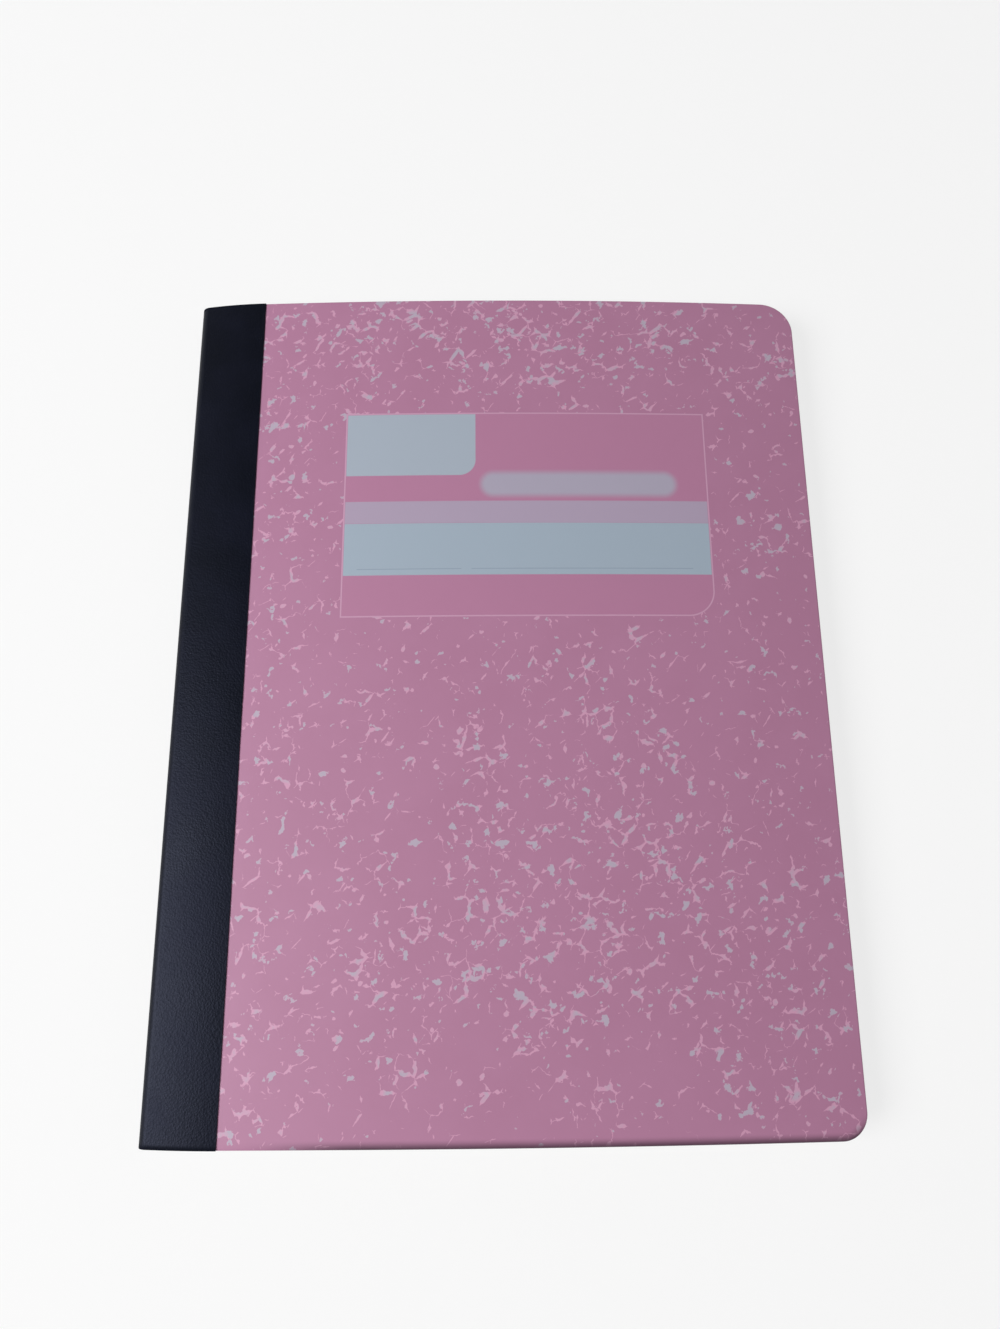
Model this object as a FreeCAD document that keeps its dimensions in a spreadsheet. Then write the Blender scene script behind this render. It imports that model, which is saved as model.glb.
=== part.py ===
import FreeCAD, Part
import math
import os
import random
import Sketcher
from FreeCAD import Vector

# Composition notebook, closed and lying on its back cover.
# X runs across the book with the spine at -X, +Y is the head, +Z is up out of the front cover.
# The origin is under the middle of the book, on the plane it lies on. Lengths are in millimetres.

SIZES = {
    # The closed book
    "cover_width": 190.5,
    "cover_height": 247.65,
    "spine_thickness": 9.2,
    "spine_round": 3.2,
    "head_corner_round": 10.0,
    "tail_corner_round": 7.0,
    # The front cover rises off the spine on a short swell, then bows over to the fore-edge
    "swell_slope": 10.0,
    "swell_radius": 140.0,
    "bow_radius": 1600.0,
    # Boards, tape and the room between the layers
    "board_thickness": 0.8,
    "tape_thickness": 0.25,
    "lap_width": 21.4,
    "joggle_length": 1.5,
    "fold_rise": 0.15,
    "page_clearance": 0.1,
    "glue_clearance": 0.05,
    "page_inset": 0.25,
    # The thread that sews the folded sheets together
    "thread_width": 0.6,
    "thread_reach": 3.0,
    "stitch_pitch": 12.0,
    "stitch_margin": 9.0,
    # The print on the front cover
    "ink_thickness": 0.1,
    "ink_clearance": 0.07,
    "label_width": 110.8,
    "label_height": 65.8,
    "label_head_gap": 39.8,
    "label_fore_gap": 31.1,
    "label_round": 8.0,
    "label_line": 0.4,
    "field_gap": 0.1,
    "name_width": 39.4,
    "name_height": 20.4,
    "name_round": 5.0,
    "title_width": 60.4,
    "title_height": 8.6,
    "title_drop": 19.6,
    "title_fore_gap": 9.3,
    "band_drop": 29.4,
    "band_height": 7.0,
    "writing_height": 16.4,
    "fleck_count": 130,
    "fleck_reach": 4.4,
    "fleck_margin": 3.0,
}

doc = FreeCAD.newDocument("composition_notebook")
sheet = doc.addObject("Spreadsheet::Sheet", "Sizes")
for row, (alias, size) in enumerate(SIZES.items(), start=1):
    sheet.set("A%d" % row, alias)
    sheet.set("B%d" % row, str(size))
    sheet.setAlias("B%d" % row, alias)
doc.recompute()


def value(expression):
    """What an expression on the size sheet comes to, as a plain number."""
    return float(sheet.evalExpression(expression))


# Places that several pieces share, written as expressions on the size sheet
SPINE_X = "(-Sizes.cover_width / 2)"
FORE_X = "(Sizes.cover_width / 2)"
HEAD_Y = "(Sizes.cover_height / 2)"
LAP_X = "(-Sizes.cover_width / 2 + Sizes.lap_width)"
JOGGLE_X = "(-Sizes.cover_width / 2 + Sizes.lap_width + Sizes.joggle_length)"
FOLD_X = "(-Sizes.cover_width / 2 + Sizes.spine_round)"
FRONT_FOLD_Z = "(Sizes.spine_thickness - Sizes.spine_round)"
BACK_FOLD_Z = "Sizes.spine_round"
FRONT_ARM = "(Sizes.swell_radius - Sizes.spine_round + Sizes.tape_thickness)"
SWELL_X = "(%s + %s * sin(Sizes.swell_slope))" % (FOLD_X, FRONT_ARM)
SWELL_Z = "(%s - %s * cos(Sizes.swell_slope))" % (FRONT_FOLD_Z, FRONT_ARM)
SWELL_END = "((%s - %s) / Sizes.swell_radius)" % (LAP_X, SWELL_X)
LABEL_RIGHT = "(Sizes.cover_width / 2 - Sizes.label_fore_gap)"
LABEL_LEFT = "(Sizes.cover_width / 2 - Sizes.label_fore_gap - Sizes.label_width)"
LABEL_TOP = "(Sizes.cover_height / 2 - Sizes.label_head_gap)"
LABEL_BOTTOM = "(Sizes.cover_height / 2 - Sizes.label_head_gap - Sizes.label_height)"
FIELD_EDGE = "(Sizes.label_line + Sizes.field_gap)"


def round_radius(depth):
    """Radius of a rounded spine edge, at a depth below the boards' outer faces."""
    return "(Sizes.spine_round - Sizes.tape_thickness - (%s))" % depth


def swell_radius(depth):
    return "(Sizes.swell_radius - (%s))" % depth


def swell_start(depth):
    """X where the swell leaves the rounded spine edge, which is where the front cover folds."""
    return "(%s - %s * sin(Sizes.swell_slope))" % (FOLD_X, round_radius(depth))


def swell_finish(depth):
    """X where the swell runs into the long bow, under the edge of the tape."""
    return "(%s + %s * %s)" % (SWELL_X, swell_radius(depth), SWELL_END)


class Outline:
    """Draws edges in a sketch and binds each one to the size sheet."""

    def __init__(self, sketch):
        self.sketch = sketch

    def hold(self, kind, *where_and_expression):
        *where, expression = where_and_expression
        index = self.sketch.addConstraint(Sketcher.Constraint(kind, *where, value(expression)))
        self.sketch.setExpression("Constraints[%d]" % index, expression)

    def place(self, edge, end, x=None, y=None):
        """Holds one end (1 or 2) or the centre (3) of an edge at X and Y from the origin."""
        if x is not None:
            self.hold("DistanceX", -1, 1, edge, end, x)
        if y is not None:
            self.hold("DistanceY", -1, 1, edge, end, y)

    def join(self, edge, end, other, other_end):
        self.sketch.addConstraint(Sketcher.Constraint("Coincident", edge, end, other, other_end))

    def line(self, start, finish):
        """A line between two ends of edges that are drawn already."""
        points = [self.sketch.getPoint(*end) for end in (start, finish)]
        edge = self.sketch.addGeometry(Part.LineSegment(*points), False)
        self.join(edge, 1, *start)
        self.join(edge, 2, *finish)

    def path(self, *corners):
        """Lines through corners given as (x, y) expressions. Returns the first and last line."""
        spots = [Vector(value(x), value(y), 0) for x, y in corners]
        edges = [self.sketch.addGeometry(Part.LineSegment(a, b), False)
                 for a, b in zip(spots, spots[1:])]
        for before, after in zip(edges, edges[1:]):
            self.join(before, 2, after, 1)
        for edge, (x, y) in zip(edges, corners):
            self.place(edge, 1, x, y)
        self.place(edges[-1], 2, *corners[-1])
        return edges[0], edges[-1]

    def polygon(self, *corners):
        first, last = self.path(*corners)
        self.line((last, 2), (first, 1))

    def arc(self, centre, radius, start, finish, guide=False):
        """An arc, anticlockwise, on a bound centre and radius. Angles only say where it is drawn."""
        x, y = centre
        circle = Part.Circle(Vector(value(x), value(y), 0), Vector(0, 0, 1), value(radius))
        edge = self.sketch.addGeometry(Part.ArcOfCircle(circle, start, finish), guide)
        self.hold("Radius", edge, radius)
        return edge

    def spine_arc(self, centre_z, depth, start, finish):
        """One rounded edge of the spine."""
        edge = self.arc((FOLD_X, centre_z), round_radius(depth), start, finish)
        self.place(edge, 3, FOLD_X, centre_z)
        return edge

    def front_round(self, depth, end_x):
        """The spine's front edge, from end_x on the front cover round to the spine's flat."""
        reach = math.acos((value(end_x) - value(FOLD_X)) / value(round_radius(depth)))
        edge = self.spine_arc(FRONT_FOLD_Z, depth, reach, math.pi)
        self.place(edge, 1, x=end_x)
        self.place(edge, 2, y=FRONT_FOLD_Z)
        return edge

    def back_round(self, depth, end_x):
        """The spine's back edge, from the spine's flat round to end_x on the back cover."""
        reach = math.acos((value(end_x) - value(FOLD_X)) / value(round_radius(depth)))
        edge = self.spine_arc(BACK_FOLD_Z, depth, math.pi, 2 * math.pi - reach)
        self.place(edge, 1, y=BACK_FOLD_Z)
        self.place(edge, 2, x=end_x)
        return edge

    def swell(self, depth, start_x=None, guide=False):
        """The short swell beside the spine, which ends where the long bow begins."""
        start_x = start_x or swell_start(depth)
        finish_x = swell_finish(depth)
        angles = [math.acos((value(x) - value(SWELL_X)) / value(swell_radius(depth)))
                  for x in (finish_x, start_x)]
        edge = self.arc((SWELL_X, SWELL_Z), swell_radius(depth), *angles, guide=guide)
        self.place(edge, 3, SWELL_X, SWELL_Z)
        self.place(edge, 1, x=finish_x)
        self.place(edge, 2, x=start_x)
        return edge

    def bow(self, swell, depth, end_x):
        """The long bow from the end of a swell to end_x."""
        radius = "(Sizes.bow_radius - (%s))" % depth
        x = "(%s + (Sizes.swell_radius - Sizes.bow_radius) * %s)" % (SWELL_X, SWELL_END)
        z = "(%s + (Sizes.swell_radius - Sizes.bow_radius) * sqrt(1 - %s ^ 2))" % (SWELL_Z, SWELL_END)
        angles = [math.acos((value(at_x) - value(x)) / value(radius))
                  for at_x in (end_x, swell_finish(depth))]
        edge = self.arc((x, z), radius, *angles)
        self.sketch.addConstraint(Sketcher.Constraint("Tangent", edge, 2, swell, 1))
        self.place(edge, 1, x=end_x)
        return edge


def new_body(name):
    body = doc.addObject("PartDesign::Body", name)
    body.Label = name
    return body


def new_outline(body, role, lift=None):
    """A sketch on one of the body's own planes, raised by lift where one is given."""
    sketch = body.newObject("Sketcher::SketchObject", body.Name + "_outline")
    plane = next(item for item in body.Origin.OriginFeatures if item.Role == role)
    sketch.AttachmentSupport = (plane, [""])
    sketch.MapMode = "FlatFace"
    if lift:
        sketch.setExpression("AttachmentOffset.Base.z", lift)
    return Outline(sketch)


def pad_both_ways(body, outline, length):
    pad = body.newObject("PartDesign::Pad", body.Name + "_pad")
    pad.Profile = outline.sketch
    pad.SideType = "Symmetric"
    pad.setExpression("Length", length)
    doc.recompute()
    return pad


def round_fore_corners(body, inset="0"):
    """Rounds the two upright fore-edge corners, each with its own radius."""
    for side, radius in ((1, "Sizes.head_corner_round"), (-1, "Sizes.tail_corner_round")):
        base = body.Tip
        names = []
        for number, edge in enumerate(base.Shape.Edges, start=1):
            low, high = edge.Vertexes[0].Point, edge.Vertexes[-1].Point
            upright = (high - low).cross(Vector(0, 0, 1)).Length < 1e-6 and (high - low).Length > 1e-3
            outermost = abs(low.x - base.Shape.BoundBox.XMax) < 1e-6
            if upright and outermost and low.y * side > 0:
                names.append("Edge%d" % number)
        fillet = body.newObject("PartDesign::Fillet", "%s_corner" % body.Name)
        fillet.Base = (base, names)
        fillet.setExpression("Radius", "%s - %s" % (radius, inset))
        doc.recompute()


# Front cover board

def make_front_cover():
    body = new_body("front_cover")
    outline = new_outline(body, "XZ_Plane")
    outer = outline.swell("0")
    outer_bow = outline.bow(outer, "0", FORE_X)
    inner = outline.swell("Sizes.board_thickness")
    inner_bow = outline.bow(inner, "Sizes.board_thickness", FORE_X)
    outline.line((outer_bow, 1), (inner_bow, 1))
    outline.line((inner, 2), (outer, 2))
    pad_both_ways(body, outline, "Sizes.cover_height")
    round_fore_corners(body)
    return body


# Back cover board: flat, with a small step up over the tape at the spine

def make_back_cover():
    body = new_body("back_cover")
    outline = new_outline(body, "XZ_Plane")
    under, over = "Sizes.tape_thickness", "(Sizes.tape_thickness + Sizes.board_thickness)"
    outline.polygon((FOLD_X, under), (LAP_X, under), (JOGGLE_X, "0"), (FORE_X, "0"),
                    (FORE_X, "Sizes.board_thickness"), (JOGGLE_X, "Sizes.board_thickness"),
                    (LAP_X, over), (FOLD_X, over))
    pad_both_ways(body, outline, "Sizes.cover_height")
    round_fore_corners(body)
    return body


# Spine tape: one glued strip, which bends where each cover folds

def make_spine_tape():
    body = new_body("spine_tape")
    outline = new_outline(body, "XZ_Plane")
    rounds = []
    for depth in ("-Sizes.tape_thickness", "0"):
        front = outline.front_round(depth, swell_start(depth))
        back = outline.back_round(depth, FOLD_X)
        outline.line((front, 2), (back, 1))
        rounds.append((front, back))
    (outer_front, outer_back), (inner_front, inner_back) = rounds
    outline.line((outer_front, 1), (inner_front, 1))
    outline.line((outer_back, 2), (inner_back, 2))
    pad_both_ways(body, outline, "Sizes.cover_height")
    return body


def make_front_tape_lap():
    body = new_body("front_tape_lap")
    outline = new_outline(body, "XZ_Plane")
    outer = outline.swell("-Sizes.tape_thickness")
    inner = outline.swell("0")
    outline.line((outer, 1), (inner, 1))
    outline.line((inner, 2), (outer, 2))
    pad_both_ways(body, outline, "Sizes.cover_height")
    return body


def make_back_tape_lap():
    body = new_body("back_tape_lap")
    outline = new_outline(body, "XZ_Plane")
    outline.polygon((FOLD_X, "0"), (LAP_X, "0"), (LAP_X, "Sizes.tape_thickness"),
                    (FOLD_X, "Sizes.tape_thickness"))
    pad_both_ways(body, outline, "Sizes.cover_height")
    return body


# Thread: a running stitch through the fold, laid square and repeated along the spine

STITCHES = "floor((Sizes.cover_height - 2 * Sizes.stitch_margin) / Sizes.stitch_pitch)"
THREAD_OUTER = "(-Sizes.cover_width / 2 + Sizes.tape_thickness + Sizes.glue_clearance)"
THREAD_Z = "(Sizes.spine_thickness / 2)"


def stitch_outline(body, room):
    """One stitch: along the spine's flat, in through the fold, along inside it and out again."""
    outline = new_outline(body, "XY_Plane", lift=THREAD_Z)
    start = "(-%s * Sizes.stitch_pitch / 2)" % STITCHES
    near = "(%s - %s)" % (THREAD_OUTER, room)
    near_inside = "(%s + Sizes.thread_width + %s)" % (THREAD_OUTER, room)
    far = "(%s + Sizes.thread_reach + %s)" % (THREAD_OUTER, room)
    far_inside = "(%s + Sizes.thread_reach - Sizes.thread_width - %s)" % (THREAD_OUTER, room)
    half = "(Sizes.thread_width / 2 + %s)" % room
    begin = "(%s - %s)" % (start, room)
    turns = ["(%s + Sizes.stitch_pitch %s %s %s)" % (start, share, sign, half)
             for share in ("/ 2", "") for sign in ("-", "+")]
    outline.polygon((near, begin), (near, turns[1]), (far_inside, turns[1]), (far_inside, turns[2]),
                    (near, turns[2]), (near, turns[3]), (far, turns[3]), (far, turns[0]),
                    (near_inside, turns[0]), (near_inside, begin))
    return outline


def repeat_stitch(body, feature):
    pattern = body.newObject("PartDesign::LinearPattern", body.Name + "_stitches")
    pattern.Originals = [feature]
    pattern.Direction = (feature.Profile[0], ["V_Axis"])
    pattern.setExpression("Occurrences", STITCHES)
    pattern.setExpression("Length", "Sizes.stitch_pitch * (%s - 1)" % STITCHES)
    body.Tip = pattern
    doc.recompute()


def make_stitching_thread():
    body = new_body("stitching_thread")
    pad = pad_both_ways(body, stitch_outline(body, "0"), "Sizes.thread_width")
    repeat_stitch(body, pad)
    return body


# Page block: the folded sheets, with a channel for the thread

def make_page_block():
    body = new_body("page_block")
    outline = new_outline(body, "XZ_Plane")
    glue, depth = "Sizes.glue_clearance", "(Sizes.board_thickness + Sizes.page_clearance)"
    fold_gap = "Sizes.page_clearance"
    edge_x = "(%s - Sizes.page_inset)" % FORE_X
    low, step = depth, "(%s + Sizes.tape_thickness)" % depth
    front_round = outline.front_round(glue, "(%s - %s)" % (swell_start(glue), fold_gap))
    back_round = outline.back_round(glue, "(%s - %s)" % (FOLD_X, fold_gap))
    top = outline.swell(depth, start_x="(%s - %s)" % (swell_start(depth), fold_gap))
    top_bow = outline.bow(top, depth, edge_x)
    first, last = outline.path((edge_x, low), (JOGGLE_X, low), (LAP_X, step),
                               ("(%s - %s)" % (FOLD_X, fold_gap), step))
    outline.line((front_round, 2), (back_round, 1))
    outline.line((front_round, 1), (top, 2))
    outline.line((top_bow, 1), (first, 1))
    outline.line((last, 2), (back_round, 2))
    pad_both_ways(body, outline, "Sizes.cover_height - 2 * Sizes.page_inset")
    round_fore_corners(body, inset="Sizes.page_inset")
    channel = body.newObject("PartDesign::Pocket", "page_block_channel")
    channel.Profile = stitch_outline(body, "Sizes.glue_clearance").sketch
    channel.SideType = "Symmetric"
    channel.setExpression("Length", "Sizes.thread_width + 2 * Sizes.glue_clearance")
    doc.recompute()
    repeat_stitch(body, channel)
    return body


# Print: every colour field is a thin skin cut from one ink layer that follows the front cover

def make_ink_layer():
    body = new_body("ink_layer")
    outline = new_outline(body, "XZ_Plane")
    edges = []
    for depth in ("(-Sizes.ink_clearance - Sizes.ink_thickness)", "-Sizes.ink_clearance"):
        guide = outline.swell(depth, guide=True)
        edges.append(outline.bow(guide, depth, FORE_X))
    outline.line((edges[0], 1), (edges[1], 1))
    outline.line((edges[1], 2), (edges[0], 2))
    pad_both_ways(body, outline, "Sizes.cover_height")
    return body


PRINT_REACH = "4 * Sizes.spine_thickness"


def rounded_field(outline, left, right, bottom, top, radius):
    """A field with one rounded corner, at its foot on the fore-edge side."""
    centre = ("(%s - %s)" % (right, radius), "(%s + %s)" % (bottom, radius))
    corner = outline.arc(centre, radius, 1.5 * math.pi, 2 * math.pi)
    outline.place(corner, 3, *centre)
    outline.place(corner, 1, x=centre[0])
    outline.place(corner, 2, y=centre[1])
    first, last = outline.path((right, top), (left, top), (left, bottom))
    outline.line((corner, 2), (first, 1))
    outline.line((last, 2), (corner, 1))


def printed(name, ink, cutter):
    """The share of the ink layer inside a cutter."""
    skin = doc.addObject("Part::Common", name)
    skin.Label = name
    skin.Base = ink
    skin.Tool = cutter
    doc.recompute()
    return skin


def new_cutter(name):
    body = new_body(name + "_area")
    return body, new_outline(body, "XY_Plane")


def make_label_frame(ink):
    body, outline = new_cutter("label_frame")
    rounded_field(outline, LABEL_LEFT, LABEL_RIGHT, LABEL_BOTTOM, LABEL_TOP, "Sizes.label_round")
    rounded_field(outline, "(%s + Sizes.label_line)" % LABEL_LEFT, "(%s - Sizes.label_line)" % LABEL_RIGHT,
                  "(%s + Sizes.label_line)" % LABEL_BOTTOM, "(%s - Sizes.label_line)" % LABEL_TOP,
                  "(Sizes.label_round - Sizes.label_line)")
    pad_both_ways(body, outline, PRINT_REACH)
    return printed("label_frame", ink, body)


def make_name_panel(ink):
    body, outline = new_cutter("name_panel")
    left, top = "(%s + %s)" % (LABEL_LEFT, FIELD_EDGE), "(%s - %s)" % (LABEL_TOP, FIELD_EDGE)
    rounded_field(outline, left, "(%s + Sizes.name_width)" % left, "(%s - Sizes.name_height)" % top, top,
                  "Sizes.name_round")
    pad_both_ways(body, outline, PRINT_REACH)
    return printed("name_panel", ink, body)


def make_title_bar(ink):
    body, outline = new_cutter("title_bar")
    radius = "(Sizes.title_height / 2)"
    right = "(%s - Sizes.title_fore_gap - %s)" % (LABEL_RIGHT, radius)
    left = "(%s - Sizes.title_width + Sizes.title_height)" % right
    middle = "(%s - Sizes.title_drop - %s)" % (LABEL_TOP, radius)
    ends = []
    for x, start in ((left, 0.5 * math.pi), (right, -0.5 * math.pi)):
        end = outline.arc((x, middle), radius, start, start + math.pi)
        outline.place(end, 3, x, middle)
        outline.place(end, 1, x=x)
        outline.place(end, 2, x=x)
        ends.append(end)
    outline.line((ends[0], 2), (ends[1], 1))
    outline.line((ends[1], 2), (ends[0], 1))
    pad_both_ways(body, outline, PRINT_REACH)
    return printed("title_bar", ink, body)


def make_full_width_field(name, ink, drop, height):
    """A straight field from one side of the label to the other, at a drop from its top."""
    body, outline = new_cutter(name)
    left, right = "(%s + %s)" % (LABEL_LEFT, FIELD_EDGE), "(%s - %s)" % (LABEL_RIGHT, FIELD_EDGE)
    top = "(%s - %s)" % (LABEL_TOP, drop)
    bottom = "(%s - %s)" % (top, height)
    outline.polygon((left, bottom), (right, bottom), (right, top), (left, top))
    pad_both_ways(body, outline, PRINT_REACH)
    return printed(name, ink, body)


# Marbling: ragged flecks scattered over the front cover, thickest at the head and low down

def fleck_crowding(y):
    """How readily flecks fall at a height on the cover, from 0 to 1."""
    along = y / value("Sizes.cover_height") + 0.5
    return 0.35 + 0.65 * max(math.exp(-((along - 0.93) / 0.08) ** 2), math.exp(-((along - 0.3) / 0.14) ** 2))


def past_corner(x, y, room):
    """Whether a spot is nearer than room to the rounded corner of the fore-edge."""
    radius = value("Sizes.head_corner_round" if y > 0 else "Sizes.tail_corner_round")
    over, up = x - value(FORE_X) + radius, abs(y) - value(HEAD_Y) + radius
    return over > 0 and up > 0 and math.hypot(over, up) > radius - room


def fleck_prism(chance, x, y, depth):
    """One ragged fleck as an upright prism, longer than it is wide."""
    reach = value("Sizes.fleck_reach") * chance.uniform(0.35, 1.0)
    slim = chance.uniform(0.3, 0.7)
    lean = chance.uniform(0, math.pi)
    corners = []
    for step in range(7):
        turn = 2 * math.pi * (step + chance.uniform(-0.3, 0.3)) / 7
        out = reach * chance.uniform(0.45, 1.0)
        along, across = out * math.cos(turn), out * slim * math.sin(turn)
        corners.append(Vector(x + along * math.cos(lean) - across * math.sin(lean),
                              y + along * math.sin(lean) + across * math.cos(lean), -depth))
    return Part.Face(Part.makePolygon(corners + corners[:1])).extrude(Vector(0, 0, 2 * depth))


def make_marbling(ink):
    chance = random.Random(31)
    reach, margin = value("Sizes.fleck_reach"), value("Sizes.fleck_margin")
    left, right = value(LAP_X) + reach + margin, value(FORE_X) - reach - margin
    top = value(HEAD_Y) - reach - margin
    label = [value(LABEL_LEFT) - reach, value(LABEL_RIGHT) + reach,
             value(LABEL_BOTTOM) - reach, value(LABEL_TOP) + reach]
    flecks = []
    spots = []
    tries = 0
    while len(flecks) < value("Sizes.fleck_count") and tries < 60 * value("Sizes.fleck_count"):
        tries += 1
        x, y, pick = chance.uniform(left, right), chance.uniform(-top, top), chance.random()
        on_label = label[0] < x < label[1] and label[2] < y < label[3]
        crowded = any(math.hypot(x - a, y - b) < 2 * reach for a, b in spots)
        if on_label or crowded or past_corner(x, y, reach) or pick > fleck_crowding(y):
            continue
        spots.append((x, y))
        flecks.append(fleck_prism(chance, x, y, value(PRINT_REACH)))
    marbling = doc.addObject("Part::Feature", "marbling")
    marbling.Label = "marbling"
    marbling.Shape = ink.Shape.common(Part.makeCompound(flecks))
    return marbling


ink_layer = make_ink_layer()
pieces = [
    make_page_block(),
    make_stitching_thread(),
    make_spine_tape(),
    make_front_cover(),
    make_front_tape_lap(),
    make_back_cover(),
    make_back_tape_lap(),
    make_label_frame(ink_layer),
    make_name_panel(ink_layer),
    make_title_bar(ink_layer),
    make_full_width_field("ruling_band", ink_layer, "Sizes.band_drop", "Sizes.band_height"),
    make_full_width_field("writing_panel", ink_layer,
                          "(Sizes.band_drop + Sizes.band_height + Sizes.field_gap)", "Sizes.writing_height"),
    make_marbling(ink_layer),
]
doc.recompute()

for item in doc.Objects:
    if "Invalid" in item.State or "Error" in item.State:
        raise RuntimeError("%s did not build: %s" % (item.Name, item.State))
os.makedirs("parts", exist_ok=True)
for piece in pieces:
    shape = piece.Shape
    if shape.isNull() or not shape.isValid() or not shape.Solids:
        raise RuntimeError("%s is not a valid solid" % piece.Label)
    shape.exportStep("parts/%s.step" % piece.Label)
    box = shape.BoundBox
    print("%-18s %3d solids %9.1f mm3  x %.2f %.2f  y %.2f %.2f  z %.2f %.2f" % (
        piece.Label, len(shape.Solids), shape.Volume, box.XMin, box.XMax, box.YMin, box.YMax,
        box.ZMin, box.ZMax))

rise = "(Sizes.spine_round + Sizes.fold_rise)"
print("front hinge x %.3f z %.3f" % (value("%s - %s * sin(Sizes.swell_slope)" % (FOLD_X, rise)),
                                     value("%s + %s * cos(Sizes.swell_slope)" % (FRONT_FOLD_Z, rise))))
print("back hinge x %.3f z %.3f" % (value(FOLD_X), value("-Sizes.fold_rise")))
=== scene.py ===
# %% [markdown]
# # A composition notebook
#
# A composition notebook is a thick gathering of folded sheets, sewn once through the fold, with a
# stiff printed board glued on each side and a strip of grained tape wrapped over the spine. The CAD
# model that this script dresses already has each of those pieces in its place and knows how the
# covers open. Blender adds what a CAD solid can't carry: the marbled print, the grain of the tape,
# the cut edges of a hundred leaves and the light they are seen in.
#
# Every length below is in metres, as Blender wants it, so a millimetre gets a name of its own.

# %% Load the fixed frame
import math
import random

import bpy
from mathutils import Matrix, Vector


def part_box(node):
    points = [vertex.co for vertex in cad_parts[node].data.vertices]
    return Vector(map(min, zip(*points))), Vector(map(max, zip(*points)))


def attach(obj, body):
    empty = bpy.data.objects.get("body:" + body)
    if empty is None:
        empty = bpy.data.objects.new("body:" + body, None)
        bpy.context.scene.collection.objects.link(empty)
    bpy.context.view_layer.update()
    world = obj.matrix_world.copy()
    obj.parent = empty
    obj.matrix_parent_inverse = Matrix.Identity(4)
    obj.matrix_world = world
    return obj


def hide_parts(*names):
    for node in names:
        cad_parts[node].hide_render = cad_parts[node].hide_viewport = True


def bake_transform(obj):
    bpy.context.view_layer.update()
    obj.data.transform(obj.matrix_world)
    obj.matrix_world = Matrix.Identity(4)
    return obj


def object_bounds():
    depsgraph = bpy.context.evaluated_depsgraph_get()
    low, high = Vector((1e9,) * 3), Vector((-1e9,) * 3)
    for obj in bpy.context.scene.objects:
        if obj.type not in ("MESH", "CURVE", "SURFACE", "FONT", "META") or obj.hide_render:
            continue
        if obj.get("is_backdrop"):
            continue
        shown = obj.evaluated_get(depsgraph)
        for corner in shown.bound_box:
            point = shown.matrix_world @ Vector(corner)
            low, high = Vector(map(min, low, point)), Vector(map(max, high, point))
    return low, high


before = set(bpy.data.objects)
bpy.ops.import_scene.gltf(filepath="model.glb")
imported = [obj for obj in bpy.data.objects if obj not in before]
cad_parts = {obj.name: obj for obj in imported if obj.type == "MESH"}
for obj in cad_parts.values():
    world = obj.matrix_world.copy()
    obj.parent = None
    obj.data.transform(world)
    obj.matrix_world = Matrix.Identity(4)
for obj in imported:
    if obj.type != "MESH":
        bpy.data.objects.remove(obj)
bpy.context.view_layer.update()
MM = 0.001
print("pieces from the CAD model:", ", ".join(sorted(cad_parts)))

# %% [markdown]
# ## Sizes of the book
#
# The frame gives the boxes of the pieces, and most places can be read off them. A box says nothing
# of curves, so the few radii that shape the front cover are written down here. The cover leaves the
# rounded edge of the spine at a slope of ten degrees, swells over a short arc under the tape and
# then runs in one long, nearly flat bow to the fore-edge, because sewn sheets are held tight at the
# fold and lie looser everywhere else.

# %% Read the boxes, name the curves
tape_low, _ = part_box("spine_tape")
_, board_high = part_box("back_cover")
SPINE_X, FORE_X, HEAD_Y = tape_low.x, board_high.x, board_high.y
SPINE_THICKNESS = 9.2 * MM
SPINE_ROUND = 3.2 * MM
HEAD_CORNER = 10 * MM
TAIL_CORNER = 7 * MM
SWELL_SLOPE = math.radians(10)
SWELL_RADIUS = 140 * MM
BOW_RADIUS = 1600 * MM
BOARD = 0.8 * MM
TAPE = 0.25 * MM
LAP_X = SPINE_X + 21.4 * MM
JOGGLE_X = LAP_X + 1.5 * MM
print("covers %.1f by %.1f mm" % ((FORE_X - SPINE_X) / MM, 2 * HEAD_Y / MM))

# %% [markdown]
# ## The line that the front cover follows
#
# Two circles that touch make the line: the swell's and the bow's. Board, tape and pages all follow
# it at their own depth below the board's printed face, so one function gives the height at any
# place and depth. An alternative is to bend flat pieces with a curve modifier, which is less exact
# and would need the same circles anyway.

# %% Height of the front cover
FOLD_X = SPINE_X + SPINE_ROUND
FRONT_FOLD_Z = SPINE_THICKNESS - SPINE_ROUND
swell_arm = SWELL_RADIUS - SPINE_ROUND + TAPE
SWELL_CENTRE = (FOLD_X + swell_arm * math.sin(SWELL_SLOPE),
                FRONT_FOLD_Z - swell_arm * math.cos(SWELL_SLOPE))
LEAN = (LAP_X - SWELL_CENTRE[0]) / SWELL_RADIUS
RISE = math.sqrt(1 - LEAN ** 2)
BOW_CENTRE = (SWELL_CENTRE[0] + (SWELL_RADIUS - BOW_RADIUS) * LEAN,
              SWELL_CENTRE[1] + (SWELL_RADIUS - BOW_RADIUS) * RISE)


def front_height(x, depth):
    """Height of the front cover's line at x, at a depth below the printed face."""
    on_bow = x > SWELL_CENTRE[0] + (SWELL_RADIUS - depth) * LEAN
    centre, radius = (BOW_CENTRE, BOW_RADIUS) if on_bow else (SWELL_CENTRE, SWELL_RADIUS)
    return centre[1] + math.sqrt((radius - depth) ** 2 - (x - centre[0]) ** 2)


def fold_start(depth):
    """X at which the front cover's line begins, on the spoke where the cover folds."""
    return FOLD_X - (SPINE_ROUND - TAPE - depth) * math.sin(SWELL_SLOPE)


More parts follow.
